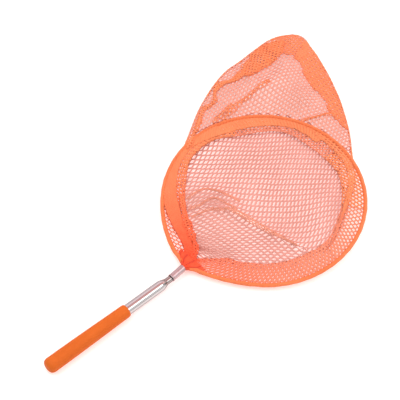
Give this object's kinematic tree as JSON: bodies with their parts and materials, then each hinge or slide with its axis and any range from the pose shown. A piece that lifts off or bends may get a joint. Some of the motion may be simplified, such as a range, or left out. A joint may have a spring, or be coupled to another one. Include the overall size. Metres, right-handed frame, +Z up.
{
  "type": "butterfly net",
  "caption": "Hand net with a telescopic tube handle, soft grip, bent ferrule, covered wire hoop and a loose knitted bag pulled out to one side.",
  "frame": {"origin": "on the floor under the middle of the net's box as it lies collapsed, mouth up", "axes": "+X along the handle from the butt to the hoop, +Y to the side the bag lies on, +Z up"},
  "size_m": [0.438, 0.2462, 0.0253],
  "materials": {
    "grip_rubber": "smooth matte orange rubber",
    "polished_tube": "polished plated steel",
    "inner_tube": "polished stainless tube",
    "plug_plastic": "moulded",
    "bush_nylon": "moulded nylon",
    "shim_brass": "rolled sheet",
    "ferrule_alloy": "satin",
    "core_alloy": "turned",
    "hoop_steel": "drawn wire",
    "binding_cloth": "fine woven tape",
    "net_mesh": "knitted mesh"
  },
  "bodies": {
    "handle": {"grip": "grip_rubber", "tube_end_plug": "plug_plastic", "tube_1": "polished_tube"},
    "bush": {"guide_bush": "bush_nylon"},
    "section_2": {"tube_2": "inner_tube"},
    "section_3": {"tube_3": "inner_tube", "friction_shim_3a": "shim_brass", "friction_shim_3b": "shim_brass"},
    "section_4": {"tube_4": "inner_tube", "friction_shim_4a": "shim_brass", "friction_shim_4b": "shim_brass"},
    "head": {"tube_5": "inner_tube", "friction_shim_5a": "shim_brass", "friction_shim_5b": "shim_brass", "ferrule": "ferrule_alloy", "ferrule_core": "core_alloy", "hoop_wire": "hoop_steel", "rim_binding": "binding_cloth", "mouth_hem": "net_mesh", "net_lower_panel": "net_mesh", "net_upper_panel": "net_mesh"}
  },
  "joints": [
    {"name": "slide_2", "type": "slide", "parent": "handle", "child": "bush", "axis": [1, 0, 0], "range_m": [0, 0.11]},
    {"name": "twist", "type": "hinge", "parent": "bush", "child": "section_2", "pos_m": [-0.20296, -0.03503, 0.0075], "axis": [1, 0, 0], "continuous": true},
    {"name": "slide_3", "type": "slide", "parent": "section_2", "child": "section_3", "axis": [1, 0, 0], "range_m": [0, 0.112]},
    {"name": "slide_4", "type": "slide", "parent": "section_3", "child": "section_4", "axis": [1, 0, 0], "range_m": [0, 0.112]},
    {"name": "slide_5", "type": "slide", "parent": "section_4", "child": "head", "axis": [1, 0, 0], "range_m": [0, 0.11]}
  ]
}
